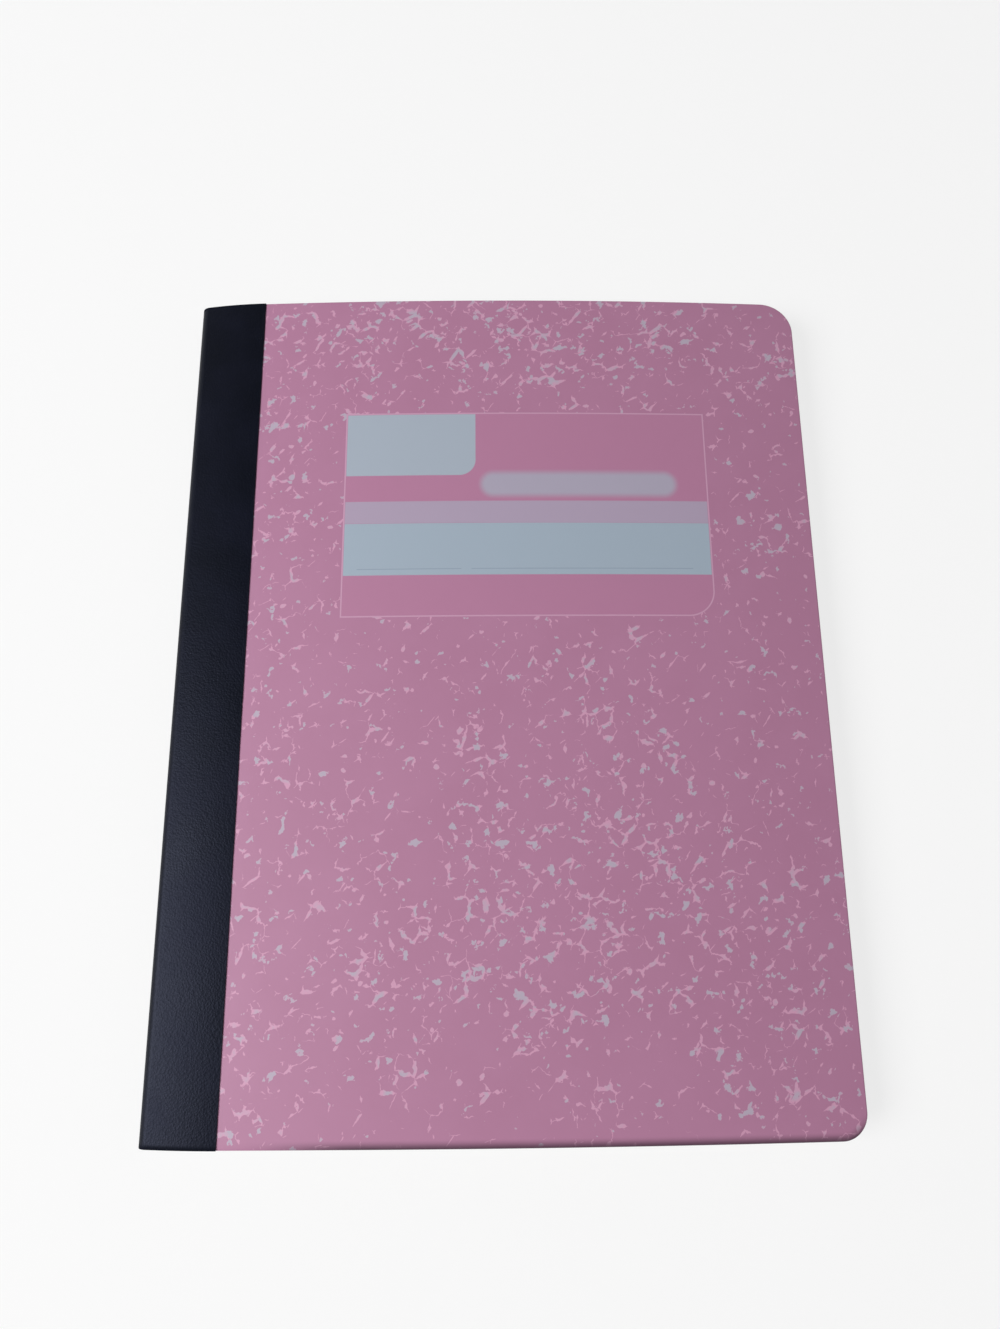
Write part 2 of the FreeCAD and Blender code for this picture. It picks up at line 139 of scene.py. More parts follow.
crown = max(front_height(x * MM, 0) for x in range(-90, 95))
fore_edge = front_height(FORE_X, 0)
print("crown of the cover at %.2f mm, fore-edge at %.2f mm" % (crown / MM, fore_edge / MM))

# %% [markdown]
# ## The outline seen from above
#
# Both boards and every sheet are trimmed together, so they share one outline: square at the spine,
# rounded at the two fore-edge corners. Each piece is a grid of columns that run from tail to head.
# A column near the fore-edge is shorter than the rest, by as much as the corner takes off it, and
# the columns crowd together there so that the corner comes out round. That keeps clean strips of
# four-sided faces everywhere, where a cutter would leave slivers.

# %% Trim a column at the corners
CORNER_STEP = 6
SAME_PLACE = 0.01 * MM


def cut_by_corner(x, corner, inset):
    """How far a rounded corner shortens the column at x."""
    radius = corner - inset
    into = x - (FORE_X - inset - radius)
    return radius - math.sqrt(max(radius ** 2 - into ** 2, 0)) if into > 0 else 0


def column_ends(x, inset=0):
    """Y of the tail and head ends of the column at x."""
    return (-HEAD_Y + inset + cut_by_corner(x, TAIL_CORNER, inset),
            HEAD_Y - inset - cut_by_corner(x, HEAD_CORNER, inset))


def column_places(start, inset=0, spacing=4 * MM):
    """X of every column from start to the fore-edge, crowded together at the corners."""
    last = FORE_X - inset
    plain = [start + step * spacing for step in range(int((last - HEAD_CORNER - start) / spacing) + 1)]
    round_ones = [last - (corner - inset) * (1 - math.sin(math.radians(turn)))
                  for corner in (HEAD_CORNER, TAIL_CORNER) for turn in range(0, 91, CORNER_STEP)]
    places = []
    for x in sorted(plain + round_ones):
        if not places or x - places[-1] > SAME_PLACE:
            places.append(x)
    return places[:-1] + [last]


print("columns across a board:", len(column_places(fold_start(0))))

# %% [markdown]
# ## From points to a piece
#
# Every mesh here is made straight from its points and faces. The helper smooths the shading except
# where faces meet at a real edge, and says how many faces it made.

# %% Make a mesh
def make_piece(name, points, faces, materials, face_materials=None, sharp=35):
    """An object in the scene, whose shading breaks where faces meet at more than sharp degrees."""
    mesh = bpy.data.meshes.new(name)
    mesh.from_pydata(points, [], faces)
    for material in materials:
        mesh.materials.append(material)
    if face_materials:
        mesh.polygons.foreach_set("material_index", face_materials)
    mesh.polygons.foreach_set("use_smooth", [True] * len(faces))
    mesh.set_sharp_from_angle(angle=math.radians(sharp))
    mesh.validate()
    piece = bpy.data.objects.new(name, mesh)
    bpy.context.scene.collection.objects.link(piece)
    print("%s: %d faces" % (name, len(faces)))
    return piece


# %% [markdown]
# ## Shader maths as sums
#
# A pattern such as the marbling is a long sum. Drawn as nodes it is hard to follow, so a small
# class wraps an output socket and lets Python's own signs add the nodes. Plain values use Math
# nodes, and vectors use Vector Math. Everything else goes through one method of the finish.

# %% A socket that can be calculated with
class Wire:
    def __init__(self, finish, socket):
        self.finish = finish
        self.socket = socket

    def worked(self, operation, *terms):
        is_vector = any(isinstance(term, Wire) and term.socket.type == "VECTOR" for term in terms)
        kind = "VectorMath" if is_vector else "Math"
        return self.finish.node(kind, {"operation": operation}, dict(enumerate(terms)))

    def __add__(self, other):
        return self.worked("ADD", self, other)

    def __sub__(self, other):
        return self.worked("SUBTRACT", self, other)

    def __rsub__(self, other):
        return self.worked("SUBTRACT", other, self)

    def __mul__(self, other):
        return self.worked("MULTIPLY", self, other)

    def __abs__(self):
        return self.worked("ABSOLUTE", self)

    __radd__ = __add__
    __rmul__ = __mul__

    def most(self, other):
        return self.worked("MAXIMUM", self, other)

    def least(self, other):
        return self.worked("MINIMUM", self, other)

    def rise(self, low, high):
        """0 below low, 1 above high and a smooth slope between."""
        return self.finish.node("MapRange", {"interpolation_type": "SMOOTHSTEP"},
                                {"Value": self, "From Min": low, "From Max": high})


# %% [markdown]
# ## A finish
#
# A finish is one material. It starts with Blender's general surface shader, hands out the place of
# a point on the piece in millimetres, and mixes colours. The places come from object coordinates,
# so the print stays on the cover when the cover opens. Colours are written as on a screen, 0 to
# 255, and turned into the linear values that a renderer counts in.

# %% Colours and finishes
def screen_colour(red, green, blue):
    parts = [part / 255 for part in (red, green, blue)]
    return [part / 12.92 if part <= 0.04045 else ((part + 0.055) / 1.055) ** 2.4 for part in parts] + [1]


class Finish:
    def __init__(self, name, roughness=0.5, **sockets):
        self.material = bpy.data.materials.new(name)
        self.material.use_nodes = True
        self.tree = self.material.node_tree
        self.surface = self.tree.nodes["Principled BSDF"]
        self.shows(roughness=roughness, **sockets)

    def node(self, kind, settings=None, inputs=None, output=0):
        """Any shader node: its type, its settings, and a value or wire for each named socket."""
        made = self.tree.nodes.new("ShaderNode" + kind)
        for setting, choice in (settings or {}).items():
            setattr(made, setting, choice)
        for socket, source in (inputs or {}).items():
            self.feed(made.inputs[socket], source)
        return Wire(self, made.outputs[output])

    def feed(self, socket, source):
        if isinstance(source, Wire):
            self.tree.links.new(source.socket, socket)
        elif socket.type == "VECTOR" and isinstance(source, (int, float)):
            socket.default_value = (source, source, source)
        else:
            socket.default_value = source

    def shows(self, **sockets):
        """Sets or wires sockets of the surface: base_color, roughness, normal and so on."""
        for name, source in sockets.items():
            self.feed(self.surface.inputs[name.replace("_", " ").title().replace("Ior", "IOR")], source)

    def place(self):
        """Where a point lies on the piece at rest, in millimetres."""
        return self.node("TexCoord", output="Object") * (1 / MM)

    def split(self, vector):
        return [self.node("SeparateXYZ", inputs={0: vector}, output=axis) for axis in range(3)]

    def noise(self, vector, scale, detail=2, output="Fac"):
        return self.node("TexNoise", {"noise_dimensions": "3D"},
                         {"Vector": vector, "Scale": scale, "Detail": detail}, output)

    def mixed(self, share, first, second):
        """The first colour where share is 0, the second where it is 1."""
        return self.node("Mix", {"data_type": "RGBA"}, {0: share, 6: first, 7: second}, 2)

    def bump(self, height, distance, strength=1):
        return self.node("Bump", inputs={"Height": height, "Distance": distance, "Strength": strength})


# %% [markdown]
# ## Marbling
#
# The cover's pattern comes from an old trick: colour is spattered on a wet sheet, and where the
# drops nearly meet, the pale ground is left as crackled veins. Cells do the same in a shader. The
# distance to the nearest cell wall, bent a little by noise, gives a net of veins, and a second
# noise decides how wide each stretch of vein is, so that most of the net is missing, some of it is
# a thread and a few spots swell into flecks. A finer net adds short strokes, scattered cells add
# specks, and the peaks of one more noise add ragged blots. Each layer reads its own part of the
# noise, and the plain numbers added to a place only move it there. Drawing single flecks as faces
# would show more of the maker's hand than the pattern's.

# %% Numbers of the marbling
# Lengths are in millimetres. A level is the value of a noise at which flecks of that kind begin,
# and a slope says how fast they widen above it.
NET_CELL, STROKE_CELL, DOT_CELL = 4.8, 3.4, 6.5
WIDEST_VEIN, WIDEST_STROKE, WIDEST_THREAD, LARGEST_DOT = 0.6, 0.45, 0.16, 0.9
SHAKE, SHIVER = 3.6, 1.6
NET_LEVEL, STROKE_LEVEL, BLOT_LEVEL = 0.618, 0.685, 0.672
VEIN_SLOPE, THREAD_SLOPE, BLOT_SLOPE = 6.0, 4, 14
THREAD_LEAD = 0.042
DOT_SHARE = 0.25
BLOT_STOUTNESS = 0.7
CROWDING_GAIN, DRIFT_GAIN = 0.08, 0.2
print("widest vein %.1f mm, widest stroke %.1f mm" % (2 * WIDEST_VEIN, 2 * WIDEST_STROKE))

# %% Veins, strokes and specks
def veins(finish, place, cell, threshold, widest):
    """Depth inside stretches of the walls between warped cells, and the swelling they follow."""
    walls = finish.node("TexVoronoi", {"voronoi_dimensions": "2D", "feature": "DISTANCE_TO_EDGE"},
                        {"Vector": place, "Scale": 1 / cell}) * cell
    swelling = finish.noise(place + 40, 1.05 / cell, detail=1)
    swollen = (swelling - threshold) * VEIN_SLOPE
    thread = ((swelling - threshold + THREAD_LEAD) * THREAD_SLOPE).least(WIDEST_THREAD)
    return swollen.least(widest).most(thread) - walls, swollen


def specks(finish, place, cell, largest, share):
    """Depth inside a dot in a share of the cells, each of its own size, and how stout it is."""
    settings = {"voronoi_dimensions": "2D", "feature": "F1"}
    sockets = {"Vector": place, "Scale": 1 / cell}
    distance = finish.node("TexVoronoi", settings, sockets, "Distance") * cell
    lottery = finish.split(finish.node("TexVoronoi", settings, sockets, "Color"))[0]
    radius = (lottery - (1 - share)) * (largest / share)
    return radius - distance, radius - distance * 0.5


def marbling(finish, place, crowding):
    """Depth inside a fleck, negative between flecks, and how stout it is. Crowding is 0 to 1."""
    shake = (finish.noise(place, 0.3, detail=2, output="Color") - 0.5) * SHAKE
    shiver = (finish.noise(place, 0.9, detail=3, output="Color") - 0.5) * SHIVER
    bent = place + shake + shiver
    drift = finish.noise(place + 90, 0.05, detail=2)
    plenty = crowding * CROWDING_GAIN + (drift - 0.5) * DRIFT_GAIN
    depth, stoutness = veins(finish, bent, NET_CELL, NET_LEVEL - plenty, WIDEST_VEIN)
    strokes = veins(finish, bent + 17, STROKE_CELL, STROKE_LEVEL - plenty * 0.7, WIDEST_STROKE)
    dots = specks(finish, bent + 31, DOT_CELL, LARGEST_DOT, DOT_SHARE)
    blots = (finish.noise(bent + 55, 0.3, detail=3) + plenty * 0.6 - BLOT_LEVEL) * BLOT_SLOPE
    for more_depth, more_stoutness in (strokes, dots, (blots, blots + BLOT_STOUTNESS)):
        depth = depth.most(more_depth)
        stoutness = stoutness.most(more_stoutness)
    return depth, stoutness


# %% [markdown]
# ## Places on the label
#
# The label is a few fields of colour with straight sides, one of which has a rounded corner at its
# foot. A signed distance says how far a point lies outside a shape, so a step at zero fills the
# shape and a band beside zero draws its outline. The distance to a box is the larger of two
# absolute values, and the rounded corner is one more circle.

# %% Distances to flat shapes
def lengths(finish, across, along):
    """Length of the vector (across, along)."""
    both = finish.node("CombineXYZ", inputs={0: across, 1: along})
    return finish.node("VectorMath", {"operation": "LENGTH"}, {0: both}, "Value")


def box_distance(x, y, box):
    left, right, bottom, top = box
    beside = abs(x - (left + right) / 2) - (right - left) / 2
    beyond = abs(y - (bottom + top) / 2) - (top - bottom) / 2
    return beside.most(beyond)


def field_distance(finish, x, y, box, radius):
    """A box whose corner at the foot, on the fore-edge side, is round."""
    over = (x - (box[1] - radius)).most(0)
    under = ((box[2] + radius) - y).most(0)
    return box_distance(x, y, box).most(lengths(finish, over, under) - radius)


def bar_distance(finish, x, y, box):
    """A bar with round ends."""
    left, right, bottom, top = box
    radius = (top - bottom) / 2
    over = (abs(x - (left + right) / 2) - ((right - left) / 2 - radius)).most(0)
    return lengths(finish, over, y - (bottom + top) / 2) - radius


# %% [markdown]
# The CAD model carries the label's fields as thin skins, so their boxes give the places. All of
# them are bare fields of colour. Only the writing panel has something drawn on it, a thin line to
# write on with one gap, which is too fine for a skin and is given here by its height above the
# panel's foot.

# %% Read the label off the CAD model
def flat_box(node):
    low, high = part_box(node)
    return [low.x / MM, high.x / MM, low.y / MM, high.y / MM]


LABEL = flat_box("label_frame")
LABEL_CORNER = 8
LABEL_LINE = 0.4
NAME_PANEL = flat_box("name_panel")
NAME_CORNER = 5
TITLE_BAR = flat_box("title_bar")
RULING_BAND = flat_box("ruling_band")
WRITING_PANEL = flat_box("writing_panel")
WRITING_LINE_Y = WRITING_PANEL[2] + 1.9
WRITING_LINE = 0.12
WRITING_GAP_X = LABEL[0] + 0.335 * (LABEL[1] - LABEL[0])
WRITING_STRETCH = [LABEL[0] + 4.5, LABEL[1] - 6, LABEL[2], LABEL[3]]
print("label %.1f by %.1f mm" % (LABEL[1] - LABEL[0], LABEL[3] - LABEL[2]))

# %% [markdown]
# ## The printed cover
#
# The board is wrapped in coated paper, printed pink with the marbling left pale. Ink creeps into
# the thin threads, so they stay pinker than the stout flecks, which show the paper's cool grey.
# The coat is satin: it veils the side nearest the window a little and shows no sharp reflection.
# Pressing leaves a faint unevenness that only the gloss shows. The tail edge is rolled down, and
# the ink there is painted a dull purple in the last two millimetres: painted shade for the roll
# turning away from the light.

# %% Ink colours
PINK = screen_colour(169, 116, 146)
PALER_PINK = screen_colour(178, 126, 157)
PALE_THREAD = screen_colour(199, 147, 175)
PALE_GROUND = screen_colour(174, 161, 178)
LABEL_PINK = screen_colour(173, 118, 149)
FRAME_PINK = screen_colour(192, 147, 174)
PANEL_BLUE = screen_colour(160, 170, 183)
WRITING_BLUE = screen_colour(155, 169, 183)
BAND_LILAC = screen_colour(167, 151, 173)
BAR_GREY = screen_colour(165, 158, 176)
LINE_GREY = screen_colour(140, 152, 168)
# Painted shade for the rolled tail edge.
PAINTED_SHADE_PURPLE = screen_colour(70, 42, 60)
MOTTLE = 0.25
FLECK_RIM = (-0.01, 0.13)
STOUTER = (0.35, 1.25)

# %% Crowding of the marbling
# Middle and reach of each oval patch in millimetres, and its share of the full crowding.
CROWDED_PATCHES = {
    "under the label": ((-5, -6), (62, 24), 0.2),
    "low, in the middle": ((28, -62), (62, 46), 0.95),
    "low, by the fore-edge": ((70, -84), (36, 38), 0.85),
    "beside the label": ((80, 30), (16, 45), 0.15),
    "low, by the spine": ((-40, -78), (40, 45), 0.4),
}


def patch(finish, x, y, middle, reach):
    """1 in the middle of an oval patch, fading to 0 past its edge."""
    across, along = (x - middle[0]) * (1 / reach[0]), (y - middle[1]) * (1 / reach[1])
    return 1 - lengths(finish, across, along).rise(0.35, 1.25)


def front_crowding(finish, x, y):
    """The marbling crowds along the head, in the patches and beside the tape."""
    crowding = y.rise(78, 112) * (1 - x.rise(40, 95) * 0.5)
    for middle, reach, share in CROWDED_PATCHES.values():
        crowding = crowding.most(patch(finish, x, y, middle, reach) * share)
    return crowding.most((1 - x.rise(-62, -48)) * 0.6)


print("crowded patches:", ", ".join(CROWDED_PATCHES))

# %% Print on the board
def printed_ground(finish, place, crowding):
    """Pink with marbling, mottled a little as coated paper is."""
    mottle = finish.noise(place, 0.05, detail=3)
    pink = finish.mixed(mottle.rise(0.3, 0.7) * MOTTLE, PINK, PALER_PINK)
    depth, stoutness = marbling(finish, place, crowding)
    fleck = finish.mixed(stoutness.rise(*STOUTER), PALE_THREAD, PALE_GROUND)
    return finish.mixed(depth.rise(*FLECK_RIM), pink, fleck)


def satin_coat(finish, place):
    """Roughness and bump that both covers share."""
    smears = finish.noise(place, 0.09, detail=3)
    fibres = finish.noise(place, 2.5, detail=3)
    finish.shows(roughness=smears * 0.1 + 0.5, normal=finish.bump(fibres, 0.03 * MM, 0.35))


def painted_tail_shade(finish, colour, x, y):
    """Painted shade on the roll along the tail, which fades out towards the spine."""
    into_corner = (x - (FORE_X - TAIL_CORNER) / MM).most(0)
    below = (-HEAD_Y + TAIL_CORNER) / MM - y
    from_corner = TAIL_CORNER / MM - lengths(finish, into_corner, below.most(0))
    near = 1 - from_corner.rise(0, 2.6)
    share = near * x.rise(-72, -35) * below.rise(0, TAIL_CORNER / MM)
    return finish.mixed(share, colour, PAINTED_SHADE_PURPLE)


def writing_lines(x, y):
    """The line to write on, in a short stretch and a long one."""
    on_line = 1 - (abs(y - WRITING_LINE_Y) - WRITING_LINE).rise(-0.05, 0.08)
    between_ends = 1 - box_distance(x, y, WRITING_STRETCH).rise(-0.1, 0.1)
    return on_line * between_ends * abs(x - WRITING_GAP_X).rise(1.4, 1.6)


def make_front_print():
    finish = Finish("front_print", specular_ior_level=0.5)
    place = finish.place()
    x, y, _ = finish.split(place)
    outline = field_distance(finish, x, y, LABEL, LABEL_CORNER)
    inside = 1 - outline.rise(-0.05, 0.05)
    colour = printed_ground(finish, place, front_crowding(finish, x, y))
    colour = finish.mixed(inside, colour, LABEL_PINK)
    fields = [
        (1 - field_distance(finish, x, y, NAME_PANEL, NAME_CORNER).rise(-0.1, 0.1), PANEL_BLUE),
        (1 - bar_distance(finish, x, y, TITLE_BAR).rise(-1.8, 0.9), BAR_GREY),
        (1 - box_distance(x, y, RULING_BAND).rise(-0.1, 0.1), BAND_LILAC),
        (1 - box_distance(x, y, WRITING_PANEL).rise(-0.1, 0.1), WRITING_BLUE),
        (inside * (outline + LABEL_LINE).rise(-0.05, 0.05), FRAME_PINK),
        (writing_lines(x, y), LINE_GREY),
    ]
    for share, ink in fields:
        colour = finish.mixed(share, colour, ink)
    # The rolled tail gets painted shade.
    finish.shows(base_color=painted_tail_shade(finish, colour, x, y))
    satin_coat(finish, place)
    return finish.material


def make_back_print():
    finish = Finish("back_print", specular_ior_level=0.5)
    place = finish.place()
    _, y, _ = finish.split(place)
    finish.shows(base_color=printed_ground(finish, place + 300, y.rise(-60, 120) * 0.8))
    satin_coat(finish, place)
    return finish.material


front_print = make_front_print()
back_print = make_back_print()
print("front print nodes:", len(front_print.node_tree.nodes))

# %% [markdown]
# The inside of each board is lined with plain white paper, and where the knife went through, the
# grey chipboard core shows as a thin, fibrous edge.

# %% Lining and core
def make_paper(name, tone, tint_scale, rough_scale):
    """Uncoated paper: a warm white that clouds a little, with fibres in its surface."""
    finish = Finish(name, roughness=0.85, specular_ior_level=0.25)
    place = finish.place()
    darker = [part * 0.93 for part in tone[:3]] + [1]
    finish.shows(base_color=finish.mixed(finish.noise(place, tint_scale, detail=3), tone, darker),
                 normal=finish.bump(finish.noise(place, rough_scale, detail=4), 0.03 * MM, 0.4))
    return finish.material


lining = make_paper("lining_paper", screen_colour(224, 221, 213), 0.06, 1.5)
core = make_paper("chipboard_core", screen_colour(168, 158, 146), 2.0, 3.0)

# %% [markdown]
# ## The boards
#
# A board is two grids of points, its printed face and its lining, closed by a rim. The rows crowd
# together along the cut edges, where the printed face turns down: about a sixth of a millimetre
# all round, as the knife leaves it, and over half a millimetre in the last two along the tail,
# where the cover is rolled.

# %% Rows and the turned-down edge
EDGE_STEPS = [0, 0.06, 0.15, 0.3, 0.5, 0.8, 1.15, 1.6, 2.1, 2.6]
CUT_REACH, CUT_DROP = 0.45 * MM, 0.16 * MM
ROLL_REACH, ROLL_DROP = 2.4 * MM, 0.45 * MM
ROLL_FADE = 50 * MM
FIRST_STRIP = 0.6 * MM


def row_places(x, middle_rows=30):
    """Y of every point in the column at x, crowded together near both ends."""
    tail, head = column_ends(x)
    near_tail = [tail + step * MM for step in EDGE_STEPS]
    near_head = [head - step * MM for step in reversed(EDGE_STEPS)]
    stride = (near_head[0] - near_tail[-1]) / (middle_rows + 1)
    return near_tail + [near_tail[-1] + stride * row for row in range(1, middle_rows + 1)] + near_head


def edge_distance(x, y):
    """How far a point on a board lies inside the trimmed outline."""
    corner = HEAD_CORNER if y > 0 else TAIL_CORNER
    over, up = x - (FORE_X - corner), abs(y) - (HEAD_Y - corner)
    if over > 0 and up > 0:
        return corner - math.hypot(over, up)
    return min(FORE_X - x, HEAD_Y - abs(y))


def turned_down(distance, reach, drop):
    """Drop of a rounded edge, from nothing at reach to the whole drop at the edge."""
    into = min(max(1 - distance / reach, 0), 1)
    return drop * (1 - math.sqrt(1 - into ** 2))


def edge_drop(x, y, rolled):
    """How far the printed face turns down at a point. The roll fades out towards the spine."""
    distance = edge_distance(x, y)
    drop = turned_down(distance, CUT_REACH, CUT_DROP)
    if rolled:
        away = min(max((x - SPINE_X) / ROLL_FADE, 0), 1)
        round_corner = min(max((-HEAD_Y + TAIL_CORNER - y) / TAIL_CORNER, 0), 1)
        drop += turned_down(distance, ROLL_REACH, ROLL_DROP) * away * round_corner
    return drop


# %% Two grids and a rim
def make_board(name, starts, heights, printed, rolled):
    """starts and heights give the printed face's first x and line, then the lining's."""
    places = column_places(max(starts) + FIRST_STRIP)
    columns = [[starts[side]] + places for side in (0, 1)]
    facing = 1 if heights[0](0) > heights[1](0) else -1
    points = []
    for side in (0, 1):
        for x in columns[side]:
            for y in row_places(x):
                drop = facing * edge_drop(x, y, rolled) if side == 0 else 0
                points.append((x, y, heights[side](x) - drop))
    rows, count = len(row_places(0)), len(columns[0])
    lining_start = rows * count
    faces, slots = [], []
    for column in range(count - 1):
        for row in range(rows - 1):
            corner = column * rows + row
            quad = [corner, corner + rows, corner + rows + 1, corner + 1]
            faces.append(quad[::facing])
            faces.append([lining_start + index for index in quad][::-facing])
            slots += [0, 1]
    ring = ([column * rows for column in range(count)]
            + [(count - 1) * rows + row for row in range(1, rows)]
            + [column * rows + rows - 1 for column in range(count - 2, -1, -1)]
            + list(range(rows - 2, 0, -1)))
    for here, there in zip(ring, ring[1:] + ring[:1]):
        faces.append([here, lining_start + here, lining_start + there, there][::facing])
        slots.append(2)
    return make_piece(name, points, faces, [printed, lining, core], slots)


front_board = make_board("front_board", (fold_start(0), fold_start(BOARD)),
                         (lambda x: front_height(x, 0), lambda x: front_height(x, BOARD)),
                         printed=front_print, rolled=True)
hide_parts("front_cover", "label_frame", "name_panel", "title_bar", "ruling_band",
            "writing_panel", "marbling")
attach(front_board, "front_side")

# %% [markdown]
# The back board lies flat. Only under the tape does it step up, by the tape's own thickness, so
# that tape and board together make one level underside.

# %% Back board
def back_height(x):
    """The printed underside of the back board."""
    return TAPE * min(max((JOGGLE_X - x) / (JOGGLE_X - LAP_X), 0), 1)


back_board = make_board("back_board", (FOLD_X, FOLD_X),
                        (back_height, lambda x: back_height(x) + BOARD),
                        printed=back_print, rolled=False)
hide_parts("back_cover")
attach(back_board, "back_side")

# %% [markdown]
# ## The tape
#
# Book cloth or, here, grained paper tape is glued round the spine and laps over both boards. It is
# black with a touch of blue and pressed with a fine leather grain. Cells again give the grain:
# small, uneven and shallow. A broad noise leaves some stretches smoother than others, and the two
# cut ends are matt, because loose fibres there scatter the light.

# %% Tape finish
TAPE_BLACK = screen_colour(2, 4, 11)
TAPE_WORN = screen_colour(6, 8, 19)


def make_tape_finish():
    finish = Finish("grained_tape", specular_ior_level=0.135, specular_tint=(0.62, 0.68, 1.0, 1))
    place = finish.place()
    bent = place + (finish.noise(place, 0.9, detail=2, output="Color") - 0.5) * 0.7
    pebbles = finish.node("TexVoronoi", {"feature": "SMOOTH_F1"},
                          {"Vector": bent, "Scale": 1.8, "Smoothness": 0.6})
    creases = finish.noise(place, 0.5, detail=4)
    worn = finish.noise(place + 60, 0.06, detail=4)
    _, y, _ = finish.split(place)
    at_end = 1 - (HEAD_Y / MM - abs(y)).rise(0.2, 1.5)
    colour = finish.mixed(worn.rise(0.35, 0.7), TAPE_BLACK, TAPE_WORN)
    finish.shows(base_color=colour, roughness=worn * 0.14 + pebbles * 0.1 + at_end * 0.4 + 0.33,
                 normal=finish.bump(pebbles * -1 + creases * 0.6, 0.1 * MM, 0.45))
    return finish.material


tape_finish = make_tape_finish()

# %% [markdown]
# A cover can only open if the tape bends along the board's edge, so the strip is made as two
# halves that meet at the middle of the spine. The lap's cut edge wanders by a few hundredths of a
# millimetre.

# %% Lines that the tape follows
FRONT_LAP_STEPS, BACK_LAP_STEPS, ROUND_STEPS = 40, 30, 24


def round_points(centre_z, first, last, steps):
    """Points and outward directions along one rounded edge of the spine, between two angles."""
    turns = [math.radians(first + (last - first) * step / steps) for step in range(steps + 1)]
    return [(FOLD_X + SPINE_ROUND * math.cos(turn), centre_z + SPINE_ROUND * math.sin(turn),
             math.cos(turn), math.sin(turn)) for turn in turns]


def front_tape_line():
    """From the lap's cut edge over the swell and round the spine's edge to its middle."""
    line = []
    reach = SWELL_RADIUS + TAPE
    first, last = math.acos(LEAN), math.pi / 2 + SWELL_SLOPE
    for step in range(FRONT_LAP_STEPS):
        turn = first + (last - first) * (1 - (1 - step / FRONT_LAP_STEPS) ** 2)
        out_x, out_z = math.cos(turn), math.sin(turn)
        line.append((SWELL_CENTRE[0] + reach * out_x, SWELL_CENTRE[1] + reach * out_z, out_x, out_z))
    line += round_points(FRONT_FOLD_Z, 90 + math.degrees(SWELL_SLOPE), 180, ROUND_STEPS)
    return line + [(SPINE_X, SPINE_THICKNESS / 2, -1, 0)]


def back_tape_line():
    """From the lap's cut edge along the flat underside and round the spine's edge to its middle."""
    flat = [(FOLD_X + (LAP_X - FOLD_X) * (1 - step / BACK_LAP_STEPS) ** 2, 0, 0, -1)
            for step in range(BACK_LAP_STEPS)]
    middle = (SPINE_X, SPINE_THICKNESS / 2, -1, 0)
    return flat + round_points(SPINE_ROUND, 270, 180, ROUND_STEPS) + [middle]


# %% Weave the tape's two faces together
TAPE_ROWS = 64
CUT_WANDER = 0.03


def make_tape(name, line, side, seed):
    """Outer and inner face along a line, closed all round. Side, 1 or -1, turns the faces out."""
    chance = random.Random(seed)
    drift = [0.0]
    for _ in range(TAPE_ROWS):
        drift.append(drift[-1] * 0.8 + chance.uniform(-CUT_WANDER, CUT_WANDER) * MM)
    points = []
    for depth in (0, TAPE):
        for row in range(TAPE_ROWS + 1):
            y = -HEAD_Y + 2 * HEAD_Y * row / TAPE_ROWS
            for x, z, out_x, out_z in line:
                nearness = max(x - FOLD_X, 0) / (LAP_X - FOLD_X)
                pull = min(drift[row], 0) * nearness ** 4
                points.append((x - depth * out_x + pull, y, z - depth * out_z))
    width = len(line)
    inner = width * (TAPE_ROWS + 1)
    faces = []
    for row in range(TAPE_ROWS):
        for step in range(width - 1):
            corner = row * width + step
            quad = [corner, corner + 1, corner + width + 1, corner + width]
            faces.append(quad[::side])
            faces.append([inner + index for index in quad][::-side])
        for edge in (row * width, row * width + width - 1):
            step_up = 1 if edge == row * width else -1
            faces.append([edge, edge + width, inner + edge + width, inner + edge][::side * step_up])
    for row in (0, TAPE_ROWS):
        for step in range(width - 1):
            corner = row * width + step
            quad = [corner, inner + corner, inner + corner + 1, corner + 1]
            faces.append(quad[::side * (1 if row == 0 else -1)])
    return make_piece(name, points, faces, [tape_finish])


# %% Front half of the tape
BEND_ON_SPINE, BEND_ON_LAP = 0.4 * MM, 0.1 * MM
along_cover = (math.cos(SWELL_SLOPE), math.sin(SWELL_SLOPE))
front_fold = (FOLD_X - SPINE_ROUND * along_cover[1], FRONT_FOLD_Z + SPINE_ROUND * along_cover[0])
front_tape = make_tape("front_tape", front_tape_line(), -1, 5)
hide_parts("front_tape_lap", "spine_tape")
front_fold[0] - BEND_ON_SPINE * along_cover[0]
front_fold[1] - BEND_ON_SPINE * along_cover[1]
front_fold[0] + BEND_ON_LAP * along_cover[0]
front_fold[1] + BEND_ON_LAP * along_cover[1]
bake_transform(front_tape)

# %% Back half of the tape
back_tape = make_tape("back_tape", back_tape_line(), 1, 6)
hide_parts("back_tape_lap", "spine_tape")
FOLD_X - BEND_ON_SPINE
FOLD_X + BEND_ON_LAP
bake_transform(back_tape)

# %% [markdown]
# ## The pages
#
# The book is fifty sheets folded over one another, which make a hundred leaves. Each sheet is a
# closed loop of paper nested in the last, from the outermost, which follows the covers and the
# spine, to the innermost, folded flat on the middle line. The knife trims them all at once but
# never quite evenly, so each sheet ends a few hundredths of a millimetre off its neighbours, and
# the thin gaps between them draw the fine lines of a page edge. A striped shader on a block
# would do from far away and fail as soon as a cover opens.

